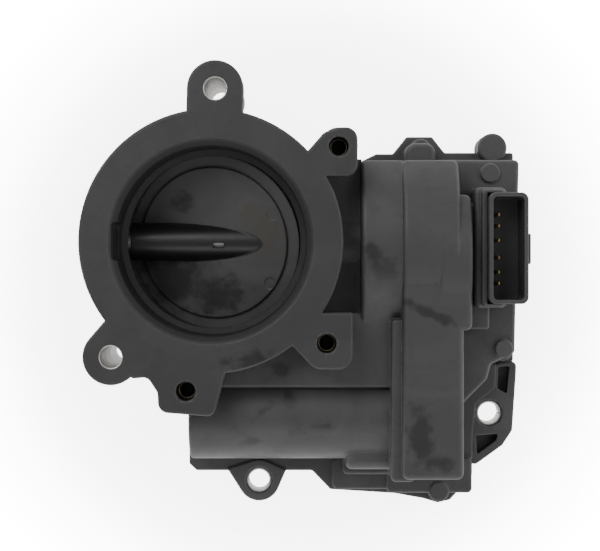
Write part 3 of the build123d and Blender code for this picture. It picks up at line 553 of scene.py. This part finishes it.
def growPiece(name, tree, centres, node, smoothBelow, lengths, counts, twist=0.0):
    # Runs the tree over the centres, keeps the mesh, and stands it in for the CAD node.
    mesh = bpy.data.meshes.new(name)
    mesh.from_pydata([(x * mm, y * mm, 0.0) for x, y in centres], [], [])
    piece = bpy.data.objects.new(name, mesh)
    bpy.context.scene.collection.objects.link(piece)
    grower = piece.modifiers.new(name, "NODES")
    grower.node_group = tree
    values = {label: length * mm for label, length in lengths.items()}
    values.update(counts)
    values["Inner Twist"] = twist
    values["Finish"] = materials[slotOf[node]]
    for socket in tree.interface.items_tree:
        if socket.in_out == "INPUT" and socket.name in values:
            grower[socket.identifier] = values[socket.name]
    made = bpy.data.meshes.new_from_object(piece.evaluated_get(bpy.context.evaluated_depsgraph_get()))
    piece.modifiers.clear()
    piece.data = made
    made.name = name
    made.shade_smooth()
    made.set_sharp_from_angle(angle=smoothBelow)
    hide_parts(node)
    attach(piece, "housing")
    print(name, len(made.polygons), "faces")


splitRing = buildTurned("splitRing", True, False, False)
fineRing = buildTurned("fineRing", False, False, True)
headedPin = buildTurned("headedPin", False, True, False)
plainRing = buildTurned("plainRing", False, False, False)

# Split steel sleeves with rolled edges, long in the upper and left lugs and short in the other two.
sleeves = dict(
    long=[(1.3, 46.4), (-30.4, -35.2)], short=[(13.7, -77.8), (88.9, -55.8)], smoothBelow=0.6,
    lengths={"Inner": 3.35, "Outer": 3.95, "Bottom": 0.0, "Edge": 0.22, "Gap": 0.35},
    longTop=44.2, shortTop=7.2, counts={"Segments": 96})
growPiece("rolledSleevesLong", splitRing, sleeves["long"], "long_sleeves", sleeves["smoothBelow"],
          {**sleeves["lengths"], "Top": sleeves["longTop"]}, sleeves["counts"])
growPiece("rolledSleevesShort", splitRing, sleeves["short"], "short_sleeves", sleeves["smoothBelow"],
          {**sleeves["lengths"], "Top": sleeves["shortTop"]}, sleeves["counts"])

# Knurled inserts with a thread cut inside.
inserts = dict(
    centres=[(38.9, 28.8), (35.2, -31.1), (-7.6, -45.6)], smoothBelow=0.9, pitch=0.8,
    lengths={"Inner": 2.2, "Outer": 2.88, "Bottom": 30.2, "Top": 38.6, "Edge": 0.3, "Inner Depth": 0.1,
             "Outer Depth": 0.12},
    counts={"Inner Waves": 1, "Outer Waves": 36, "Segments": 144})
growPiece("threadedInserts", fineRing, inserts["centres"], "duct_inserts", inserts["smoothBelow"],
          inserts["lengths"], inserts["counts"], 2 * math.pi / (inserts["pitch"] * mm))

# Pan-head screws with a six-lobed recess, heads down.
screws = dict(
    centres=[
        (66.3, 30.2), (89.6, 30.7), (92.8, -35.2), (72.2, -80.9), (46.0, -70.6), (42.2, -37.8), (2.0, -39.4)],
    lengths={"Inner": 1.15, "Outer": 2.7, "Bottom": 0.5, "Top": 1.9, "Edge": 0.55, "Inner Depth": 0.22,
             "Core": 1.45, "Core End": 10.0},
    smoothBelow=0.6, counts={"Inner Waves": 6, "Segments": 96})
growPiece("lobedScrews", headedPin, screws["centres"], "cover_screws", screws["smoothBelow"],
          screws["lengths"], screws["counts"])

# Ring seal with small nubs that hold it in its groove.
seal = dict(
    centres=[(0, 0)], smoothBelow=0.9,
    lengths={"Inner": 30.6, "Outer": 32.85, "Bottom": 0.1, "Top": 2.4, "Edge": 0.7, "Outer Depth": 0.15},
    counts={"Outer Waves": 30, "Segments": 360})
growPiece("nubbedSeal", plainRing, seal["centres"], "manifold_seal", seal["smoothBelow"], seal["lengths"],
          seal["counts"])
print("turned pieces grown")



# Light table, lamps and camera.

studio = dict(
    floorSize=3.0, floorDrop=0.0001, floorRoughness=0.9, floorColour=(0.9, 0.9, 0.9), floorGlow=0.95,
    shownInPaintedShadow=5.6, shownFar=19.0, skyRange=(0.05, 0.6), aim=(0.03, -0.01, 0),
    nearRadius=0.075, farRadius=0.15, middle=(0.027, -0.016), horizon=1.9, zenith=0.30,
    lamps=[
        ("keyTopLeft", (-0.35, 0.45, 0.75), (0.5, 0.5), 4.2),
        ("fillRight", (0.6, 0.1, 0.6), (0.5, 0.7), 2.0),
        ("fillBelow", (0.0, -0.6, 0.6), (0.8, 0.4), 2.0)])


def makeFloor():
    half = studio["floorSize"] / 2
    level = cadBox[0].z - studio["floorDrop"]
    mesh = bpy.data.meshes.new("floor")
    corners = [(-half, -half, level), (half, -half, level), (half, half, level), (-half, half, level)]
    mesh.from_pydata(corners, [], [(0, 1, 2, 3)])
    floor = bpy.data.objects.new("floor", mesh)
    bpy.context.scene.collection.objects.link(floor)
    material, tree, shader, place = startMaterial("lightTable")
    shader.inputs["Base Color"].default_value = studio["floorColour"] + (1,)
    shader.inputs["Roughness"].default_value = studio["floorRoughness"]
    shader.inputs["Emission Color"].default_value = (1, 1, 1, 1)
    path = tree.nodes.new("ShaderNodeLightPath")
    # The floor the camera sees glows less near the object than further out: a painted shadow around the
    # object.
    radius = radialDistance(tree, place, studio["middle"], "XY")
    away = ramp(tree, radius, studio["nearRadius"], studio["farRadius"])
    gain = scaled(tree, away, studio["shownFar"] - studio["shownInPaintedShadow"])
    shown = mathNode(tree, "ADD", gain, studio["shownInPaintedShadow"] - studio["floorGlow"])
    extra = scaled(tree, path.outputs["Is Camera Ray"], shown)
    link(tree, mathNode(tree, "ADD", extra, studio["floorGlow"]), shader.inputs["Emission Strength"])
    floor.data.materials.append(material)


def makeLight(name, position, aim, size, energy):
    data = bpy.data.lights.new(name, "AREA")
    data.shape = "RECTANGLE"
    data.size, data.size_y = size
    data.energy = energy
    lamp = bpy.data.objects.new(name, data)
    bpy.context.scene.collection.objects.link(lamp)
    lamp.location = position
    lamp.rotation_euler = (Vector(aim) - Vector(position)).to_track_quat("-Z", "Y").to_euler()


def makeWorld():
    world = bpy.data.worlds.new("studio")
    bpy.context.scene.world = world
    world.use_nodes = True
    tree = world.node_tree
    back = tree.nodes["Background"]
    back.inputs["Color"].default_value = (1, 1, 1, 1)
    direction = tree.nodes.new("ShaderNodeTexCoord")
    split = tree.nodes.new("ShaderNodeSeparateXYZ")
    link(tree, direction.outputs["Generated"], split.inputs[0])
    overhead = ramp(tree, split.outputs["Z"], *studio["skyRange"])
    rise = scaled(tree, overhead, studio["zenith"] - studio["horizon"])
    link(tree, mathNode(tree, "ADD", rise, studio["horizon"]), back.inputs["Strength"])


view = dict(distance=0.464, centre=(0.02709, -0.00512), face=0.045, focal=1531.0, frameWidth=600.0, lift=17.5)


def makeCamera():
    data = bpy.data.cameras.new("camera")
    data.sensor_width = 36.0
    data.lens = view["focal"] * data.sensor_width / view["frameWidth"]
    data.shift_y = -view["lift"] / view["frameWidth"]
    data.clip_start = 0.01
    camera = bpy.data.objects.new("camera", data)
    bpy.context.scene.collection.objects.link(camera)
    camera.location = (*view["centre"], view["face"] + view["distance"])
    bpy.context.scene.camera = camera


makeFloor()
makeWorld()
for lampName, position, size, energy in studio["lamps"]:
    makeLight(lampName, position, studio["aim"], size, energy)
makeCamera()
print("studio ready")
